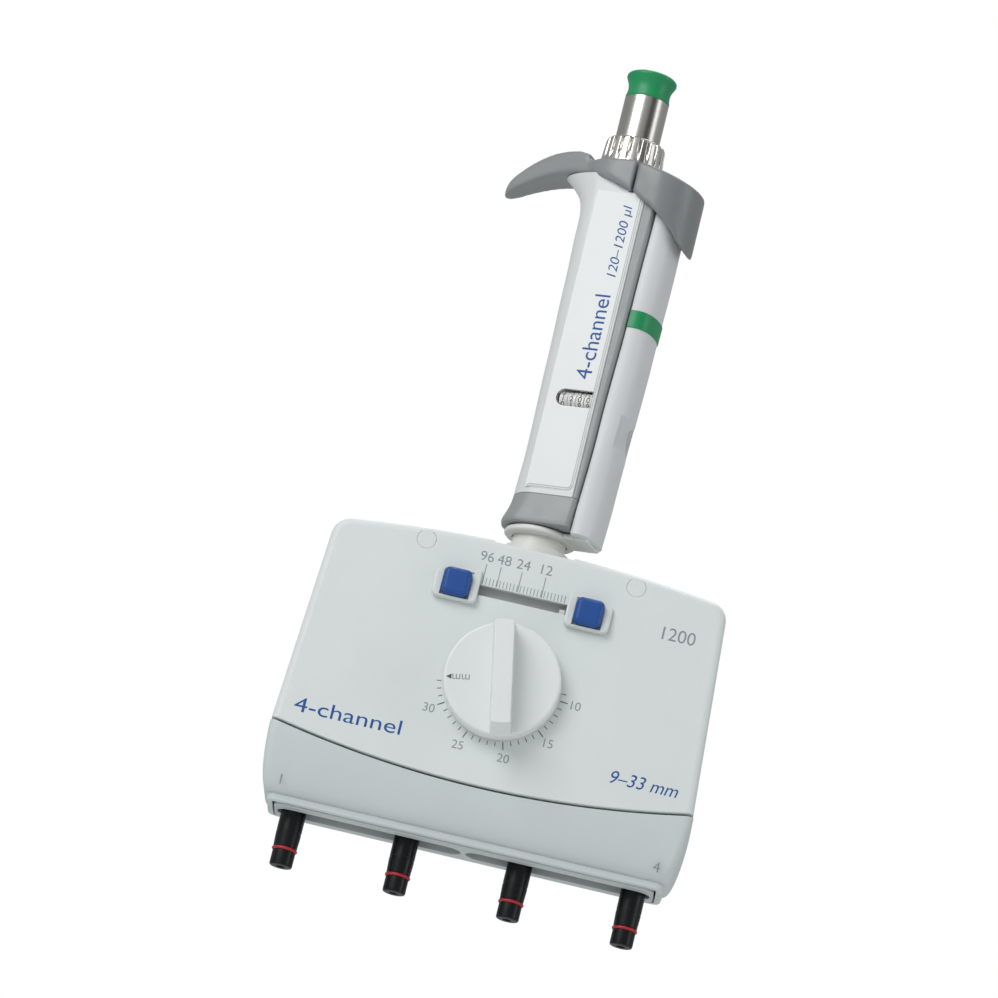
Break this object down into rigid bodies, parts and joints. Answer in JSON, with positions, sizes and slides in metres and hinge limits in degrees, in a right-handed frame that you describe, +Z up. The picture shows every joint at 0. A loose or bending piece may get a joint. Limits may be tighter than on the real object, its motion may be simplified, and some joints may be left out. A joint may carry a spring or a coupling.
{
  "type": "adjustable-spacing multichannel pipette",
  "caption": "Hand-held multichannel pipette: piston handle with finger rest and tip ejector, on a flat housing whose dial sets the spacing of the tip cones.",
  "frame": {"origin": "on the handle's axis, at the level of the finger rest's underside, where a stand's fork holds the handle", "axes": "+Z up along the handle to the push button, +X along the row of tip cones from channel 1 to channel 4, -Y towards the dial side"},
  "size_m": [0.123, 0.0473, 0.257],
  "materials": {
    "handle_white": "satin",
    "handle_grey": "fine satin",
    "label_film": "smooth",
    "clear_lens": "clear",
    "rest_grey": "satin",
    "fastener_steel": "turned",
    "drum_white": "smooth",
    "knurled_steel": "knurled, bright",
    "inner_steel": "ground",
    "push_green": "smooth",
    "push_steel": "fine turned",
    "spring_steel": "drawn wire",
    "button_grey": "satin",
    "sleeve_white": "smooth",
    "band_green": "smooth",
    "ring_white": "smooth",
    "neck_ivory": "smooth",
    "cover_pale": "fine spark texture",
    "nose_pale": "fine spark texture",
    "chassis_grey": "smooth",
    "cylinder_white": "smooth",
    "hose_silicone": "translucent",
    "bush_tan": "bearing grade",
    "plate_grey": "smooth",
    "seal_white": "smooth",
    "dial_white": "fine spark texture",
    "slider_grey": "smooth",
    "stop_pale": "fine spark texture",
    "button_blue": "satin",
    "carriage_grey": "smooth",
    "cone_black": "satin",
    "seal_red": "smooth"
  },
  "bodies": {
    "handle": {"handle_shell": "handle_white", "handle_frame": "handle_grey", "label_panel": "label_film", "window_lens": "clear_lens", "finger_rest": "rest_grey", "handle_screws": "fastener_steel", "counter_axle": "fastener_steel", "plunger_spring": "spring_steel", "ejector_spring": "spring_steel"},
    "counter_1": {"counter_drum_1": "drum_white"},
    "counter_2": {"counter_drum_2": "drum_white"},
    "counter_3": {"counter_drum_3": "drum_white"},
    "counter_4": {"counter_drum_4": "drum_white"},
    "volume_ring": {"volume_ring": "knurled_steel", "setting_tube": "inner_steel"},
    "plunger": {"push_cap": "push_green", "push_sleeve": "push_steel", "push_rod": "inner_steel"},
    "ejector": {"ejector_button": "button_grey", "ejector_sleeve": "sleeve_white", "ejector_band": "band_green", "ejector_ring": "ring_white"},
    "housing": {"neck_tube": "neck_ivory", "front_cover": "cover_pale", "rear_cover": "cover_pale", "nose_cover": "nose_pale", "cover_plugs": "cover_pale", "cover_screws": "fastener_steel", "chassis": "chassis_grey", "cylinders": "cylinder_white", "rail_bracket": "chassis_grey", "guide_rails": "inner_steel", "air_hoses": "hose_silicone", "dial_bush": "bush_tan", "piston_springs": "spring_steel"},
    "lower_ejector": {"ejector_tube": "neck_ivory", "ejector_plate": "plate_grey"},
    "piston_set": {"piston_bridge": "chassis_grey", "pistons": "inner_steel", "piston_seals": "seal_white"},
    "dial": {"dial_knob": "dial_white", "dial_shaft": "inner_steel"},
    "cam": {"cam_plate": "bush_tan"},
    "slider": {"spacing_slider": "slider_grey"},
    "left_stop": {"left_stop": "stop_pale"},
    "right_stop": {"right_stop": "stop_pale"},
    "left_button": {"left_stop_button": "button_blue"},
    "right_button": {"right_stop_button": "button_blue"},
    "channel_1": {"carriage_1": "carriage_grey", "tip_cone_1": "cone_black", "tip_seals_1": "seal_red"},
    "channel_2": {"carriage_2": "carriage_grey", "tip_cone_2": "cone_black", "tip_seals_2": "seal_red"},
    "channel_3": {"carriage_3": "carriage_grey", "tip_cone_3": "cone_black", "tip_seals_3": "seal_red"},
    "channel_4": {"carriage_4": "carriage_grey", "tip_cone_4": "cone_black", "tip_seals_4": "seal_red"}
  },
  "joints": [
    {"name": "push_button_press", "type": "slide", "parent": "handle", "child": "plunger", "axis": [0, 0, -1], "range_m": [0, 0.0135], "stiffness_N_per_m": 250, "springref_m": -0.012, "deforming": ["plunger_spring"]},
    {"name": "volume_ring_turn", "type": "hinge", "parent": "handle", "child": "volume_ring", "pos_m": [0, 0, 0.012], "axis": [0, 0, 1], "continuous": true},
    {"name": "counter_1_turn", "type": "hinge", "parent": "handle", "child": "counter_1", "pos_m": [-0.00179, -0.00595, -0.0643], "axis": [0.9397, -0.342, 0], "continuous": true},
    {"name": "counter_2_turn", "type": "hinge", "parent": "handle", "child": "counter_2", "pos_m": [0.00065, -0.00683, -0.0643], "axis": [0.9397, -0.342, 0], "continuous": true},
    {"name": "counter_3_turn", "type": "hinge", "parent": "handle", "child": "counter_3", "pos_m": [0.0031, -0.00772, -0.0643], "axis": [0.9397, -0.342, 0], "continuous": true},
    {"name": "counter_4_turn", "type": "hinge", "parent": "handle", "child": "counter_4", "pos_m": [0.00554, -0.00861, -0.0643], "axis": [0.9397, -0.342, 0], "continuous": true},
    {"name": "ejector_press", "type": "slide", "parent": "handle", "child": "ejector", "axis": [0, 0, -1], "range_m": [0, 0.004], "stiffness_N_per_m": 700, "springref_m": -0.006, "deforming": ["ejector_spring"]},
    {"name": "housing_swivel", "type": "hinge", "parent": "handle", "child": "housing", "pos_m": [0, 0, -0.1063], "axis": [0, 0, 1], "continuous": true},
    {"name": "lower_ejector_slide", "type": "slide", "parent": "housing", "child": "lower_ejector", "axis": [0, 0, -1], "range_m": [0, 0.004]},
    {"name": "piston_slide", "type": "slide", "parent": "housing", "child": "piston_set", "axis": [0, 0, -1], "range_m": [0, 0.0135], "deforming": ["piston_springs"]},
    {"name": "dial_turn", "type": "hinge", "parent": "housing", "child": "dial", "pos_m": [0, -0.0165, -0.1532], "axis": [0, -1, 0], "range_deg": [0, 171.88]},
    {"name": "cam_slide", "type": "slide", "parent": "housing", "child": "cam", "axis": [0, 0, 1], "range_m": [0, 0.024]},
    {"name": "spacing_slider_slide", "type": "slide", "parent": "housing", "child": "slider", "axis": [-1, 0, 0], "range_m": [0, 0.024]},
    {"name": "channel_1_slide", "type": "slide", "parent": "housing", "child": "channel_1", "axis": [1, 0, 0], "range_m": [0, 0.036], "deforming": ["air_hoses"]},
    {"name": "channel_2_slide", "type": "slide", "parent": "housing", "child": "channel_2", "axis": [1, 0, 0], "range_m": [0, 0.012]},
    {"name": "channel_3_slide", "type": "slide", "parent": "housing", "child": "channel_3", "axis": [-1, 0, 0], "range_m": [0, 0.012]},
    {"name": "channel_4_slide", "type": "slide", "parent": "housing", "child": "channel_4", "axis": [-1, 0, 0], "range_m": [0, 0.036]},
    {"name": "left_stop_slide", "type": "slide", "parent": "housing", "child": "left_stop", "axis": [1, 0, 0], "range_m": [0, 0.01]},
    {"name": "right_stop_slide", "type": "slide", "parent": "housing", "child": "right_stop", "axis": [-1, 0, 0], "range_m": [0, 0.01]},
    {"name": "left_button_press", "type": "slide", "parent": "left_stop", "child": "left_button", "axis": [0, 1, 0], "range_m": [0, 0.001], "stiffness_N_per_m": 600, "springref_m": -0.001},
    {"name": "right_button_press", "type": "slide", "parent": "right_stop", "child": "right_button", "axis": [0, 1, 0], "range_m": [0, 0.001], "stiffness_N_per_m": 600, "springref_m": -0.001}
  ],
  "couplings": [
    {"joint": "counter_1_turn", "follows": "volume_ring_turn", "ratio": 0.001},
    {"joint": "counter_2_turn", "follows": "volume_ring_turn", "ratio": 0.01},
    {"joint": "counter_3_turn", "follows": "volume_ring_turn", "ratio": 0.1},
    {"joint": "counter_4_turn", "follows": "volume_ring_turn", "ratio": 1},
    {"joint": "lower_ejector_slide", "follows": "ejector_press", "ratio": 1},
    {"joint": "piston_slide", "follows": "push_button_press", "ratio": 1},
    {"joint": "cam_slide", "follows": "dial_turn", "m_per_rad": 0.008},
    {"joint": "spacing_slider_slide", "follows": "dial_turn", "m_per_rad": 0.008},
    {"joint": "channel_1_slide", "follows": "dial_turn", "m_per_rad": 0.012},
    {"joint": "channel_2_slide", "follows": "dial_turn", "m_per_rad": 0.004},
    {"joint": "channel_3_slide", "follows": "dial_turn", "m_per_rad": 0.004},
    {"joint": "channel_4_slide", "follows": "dial_turn", "m_per_rad": 0.012}
  ]
}
